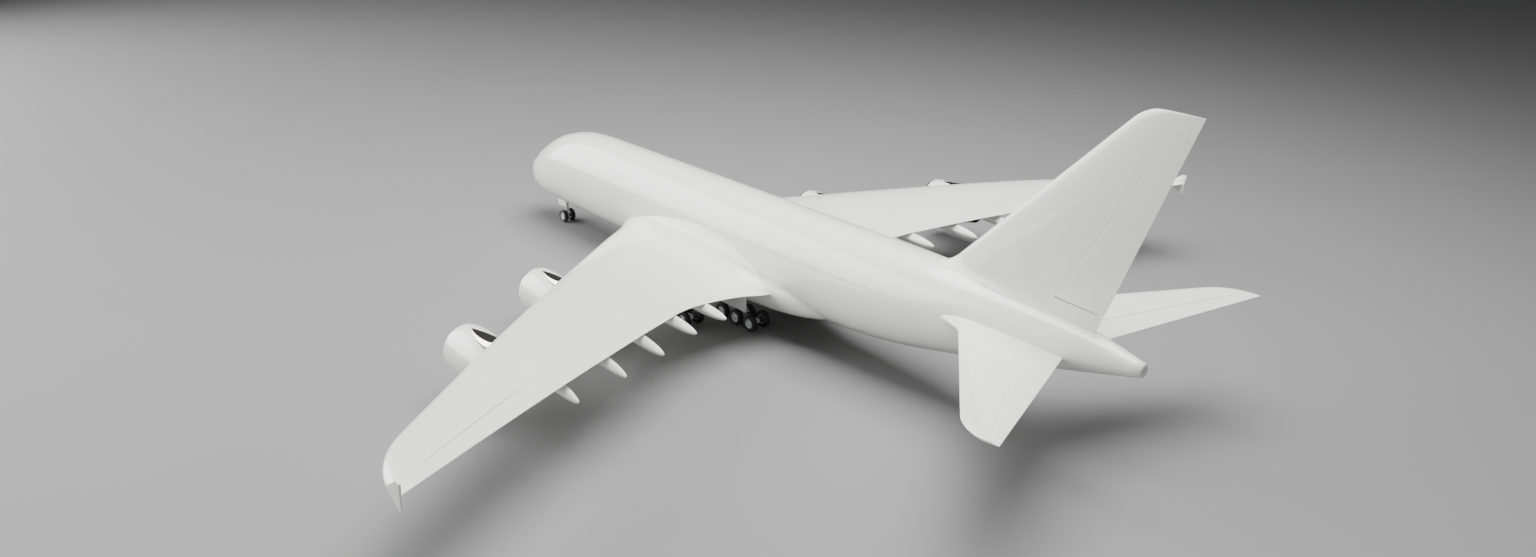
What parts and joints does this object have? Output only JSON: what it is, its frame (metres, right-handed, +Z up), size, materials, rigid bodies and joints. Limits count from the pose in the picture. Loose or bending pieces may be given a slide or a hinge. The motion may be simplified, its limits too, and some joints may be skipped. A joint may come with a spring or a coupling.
{
  "type": "double-deck four-engine airliner, 1:2 scale model",
  "caption": "Wide double-deck airliner with swept wings, underwing turbofans, tip fences and a single tall fin, standing on its landing gear with moving control surfaces.",
  "frame": {"origin": "on the ground, under the middle of the airliner's bounding box", "axes": "+X to the port wing tip, +Y aft, +Z up"},
  "size_m": [39.875, 34.7, 12.075],
  "materials": {
    "white_paint": "satin",
    "polished_metal": "polished",
    "engine_metal": "satin",
    "gear_steel": "satin",
    "tyre_rubber": "matte"
  },
  "bodies": {
    "airframe": {"belly_fairing": "white_paint", "body_gear_bogie_port": "gear_steel", "body_gear_bogie_starboard": "gear_steel", "body_gear_door_port": "white_paint", "body_gear_door_starboard": "white_paint", "body_gear_leg_port": "gear_steel", "body_gear_leg_starboard": "gear_steel", "core_inner_port": "engine_metal", "core_inner_starboard": "engine_metal", "core_outer_port": "engine_metal", "core_outer_starboard": "engine_metal", "fin": "white_paint", "fuselage": "white_paint", "nacelle_inner_port": "white_paint", "nacelle_inner_starboard": "white_paint", "nacelle_outer_port": "white_paint", "nacelle_outer_starboard": "white_paint", "nose_gear_door_port": "white_paint", "nose_gear_door_starboard": "white_paint", "nose_gear_leg": "gear_steel", "pylon_inner_port": "polished_metal", "pylon_inner_starboard": "polished_metal", "pylon_outer_port": "polished_metal", "pylon_outer_starboard": "polished_metal", "tailplane_port": "white_paint", "tailplane_starboard": "white_paint", "tip_fence_port": "white_paint", "tip_fence_starboard": "white_paint", "wing_gear_bogie_port": "gear_steel", "wing_gear_bogie_starboard": "gear_steel", "wing_gear_door_port": "white_paint", "wing_gear_door_starboard": "white_paint", "wing_gear_leg_port": "gear_steel", "wing_gear_leg_starboard": "gear_steel", "wing_port": "white_paint", "wing_starboard": "white_paint"},
    "aileron_port": {"aileron_port": "white_paint"},
    "aileron_starboard": {"aileron_starboard": "white_paint"},
    "elevator_port": {"elevator_port": "white_paint"},
    "elevator_starboard": {"elevator_starboard": "white_paint"},
    "rudder_lower": {"rudder_lower": "white_paint"},
    "rudder_upper": {"rudder_upper": "white_paint"},
    "body_gear_wheels_1_port": {"body_gear_wheels_1_port": "tyre_rubber"},
    "body_gear_wheels_1_starboard": {"body_gear_wheels_1_starboard": "tyre_rubber"},
    "body_gear_wheels_2_port": {"body_gear_wheels_2_port": "tyre_rubber"},
    "body_gear_wheels_2_starboard": {"body_gear_wheels_2_starboard": "tyre_rubber"},
    "body_gear_wheels_3_port": {"body_gear_wheels_3_port": "tyre_rubber"},
    "body_gear_wheels_3_starboard": {"body_gear_wheels_3_starboard": "tyre_rubber"},
    "fan_inner_port": {"fan_inner_port": "engine_metal"},
    "fan_inner_starboard": {"fan_inner_starboard": "engine_metal"},
    "fan_outer_port": {"fan_outer_port": "engine_metal"},
    "fan_outer_starboard": {"fan_outer_starboard": "engine_metal"},
    "wing_gear_wheels_1_port": {"wing_gear_wheels_1_port": "tyre_rubber"},
    "wing_gear_wheels_1_starboard": {"wing_gear_wheels_1_starboard": "tyre_rubber"},
    "wing_gear_wheels_2_port": {"wing_gear_wheels_2_port": "tyre_rubber"},
    "wing_gear_wheels_2_starboard": {"wing_gear_wheels_2_starboard": "tyre_rubber"},
    "nose_gear_steering": {"nose_gear_steering": "gear_steel"},
    "nose_wheels": {"nose_wheels": "tyre_rubber"}
  },
  "joints": [
    {"name": "aileron_port_hinge", "type": "hinge", "parent": "airframe", "child": "aileron_port", "pos_m": [16.5, 5.38484, 3.42216], "axis": [0.8988, 0.4371, 0.0323], "range_deg": [-20, 25]},
    {"name": "aileron_starboard_hinge", "type": "hinge", "parent": "airframe", "child": "aileron_starboard", "pos_m": [-16.5, 5.38484, 3.42216], "axis": [0.8988, -0.4371, -0.0323], "range_deg": [-20, 25]},
    {"name": "elevator_port_hinge", "type": "hinge", "parent": "airframe", "child": "elevator_port", "pos_m": [4.65, 15.03554, 4.10096], "axis": [0.8943, 0.4397, 0.0835], "range_deg": [-20, 30]},
    {"name": "elevator_starboard_hinge", "type": "hinge", "parent": "airframe", "child": "elevator_starboard", "pos_m": [-4.65, 15.03554, 4.10096], "axis": [0.8943, -0.4397, -0.0835], "range_deg": [-20, 30]},
    {"name": "rudder_lower_hinge", "type": "hinge", "parent": "airframe", "child": "rudder_lower", "pos_m": [0, 14.31569, 7.03614], "axis": [0, 0.4439, 0.8961], "range_deg": [-30, 30]},
    {"name": "rudder_upper_hinge", "type": "hinge", "parent": "airframe", "child": "rudder_upper", "pos_m": [0, 15.82091, 10.07507], "axis": [0, 0.4439, 0.8961], "range_deg": [-30, 30]},
    {"name": "body_gear_wheels_1_port_spin", "type": "hinge", "parent": "airframe", "child": "body_gear_wheels_1_port", "pos_m": [1.315, -1.075, 0.35], "axis": [1, 0, 0], "continuous": true},
    {"name": "body_gear_wheels_1_starboard_spin", "type": "hinge", "parent": "airframe", "child": "body_gear_wheels_1_starboard", "pos_m": [-1.315, -1.075, 0.35], "axis": [1, 0, 0], "continuous": true},
    {"name": "body_gear_wheels_2_port_spin", "type": "hinge", "parent": "airframe", "child": "body_gear_wheels_2_port", "pos_m": [1.315, -0.225, 0.35], "axis": [1, 0, 0], "continuous": true},
    {"name": "body_gear_wheels_2_starboard_spin", "type": "hinge", "parent": "airframe", "child": "body_gear_wheels_2_starboard", "pos_m": [-1.315, -0.225, 0.35], "axis": [1, 0, 0], "continuous": true},
    {"name": "body_gear_wheels_3_port_spin", "type": "hinge", "parent": "airframe", "child": "body_gear_wheels_3_port", "pos_m": [1.315, 0.625, 0.35], "axis": [1, 0, 0], "continuous": true},
    {"name": "body_gear_wheels_3_starboard_spin", "type": "hinge", "parent": "airframe", "child": "body_gear_wheels_3_starboard", "pos_m": [-1.315, 0.625, 0.35], "axis": [1, 0, 0], "continuous": true},
    {"name": "fan_inner_port_spin", "type": "hinge", "parent": "airframe", "child": "fan_inner_port", "pos_m": [7.75, -5.725, 1.57], "axis": [0, 1, 0], "continuous": true},
    {"name": "fan_inner_starboard_spin", "type": "hinge", "parent": "airframe", "child": "fan_inner_starboard", "pos_m": [-7.75, -5.725, 1.57], "axis": [0, 1, 0], "continuous": true},
    {"name": "fan_outer_port_spin", "type": "hinge", "parent": "airframe", "child": "fan_outer_port", "pos_m": [12.975, -2.05, 1.99], "axis": [0, 1, 0], "continuous": true},
    {"name": "fan_outer_starboard_spin", "type": "hinge", "parent": "airframe", "child": "fan_outer_starboard", "pos_m": [-12.975, -2.05, 1.99], "axis": [0, 1, 0], "continuous": true},
    {"name": "wing_gear_wheels_1_port_spin", "type": "hinge", "parent": "airframe", "child": "wing_gear_wheels_1_port", "pos_m": [3.115, -2.285, 0.35], "axis": [1, 0, 0], "continuous": true},
    {"name": "wing_gear_wheels_1_starboard_spin", "type": "hinge", "parent": "airframe", "child": "wing_gear_wheels_1_starboard", "pos_m": [-3.115, -2.285, 0.35], "axis": [1, 0, 0], "continuous": true},
    {"name": "wing_gear_wheels_2_port_spin", "type": "hinge", "parent": "airframe", "child": "wing_gear_wheels_2_port", "pos_m": [3.115, -1.435, 0.35], "axis": [1, 0, 0], "continuous": true},
    {"name": "wing_gear_wheels_2_starboard_spin", "type": "hinge", "parent": "airframe", "child": "wing_gear_wheels_2_starboard", "pos_m": [-3.115, -1.435, 0.35], "axis": [1, 0, 0], "continuous": true},
    {"name": "nose_gear_steer", "type": "hinge", "parent": "airframe", "child": "nose_gear_steering", "pos_m": [0, -15.15, 0.31], "axis": [0, 0, 1], "range_deg": [-70, 70]},
    {"name": "nose_wheels_spin", "type": "hinge", "parent": "nose_gear_steering", "child": "nose_wheels", "pos_m": [0, -15.15, 0.31], "axis": [1, 0, 0], "continuous": true}
  ]
}
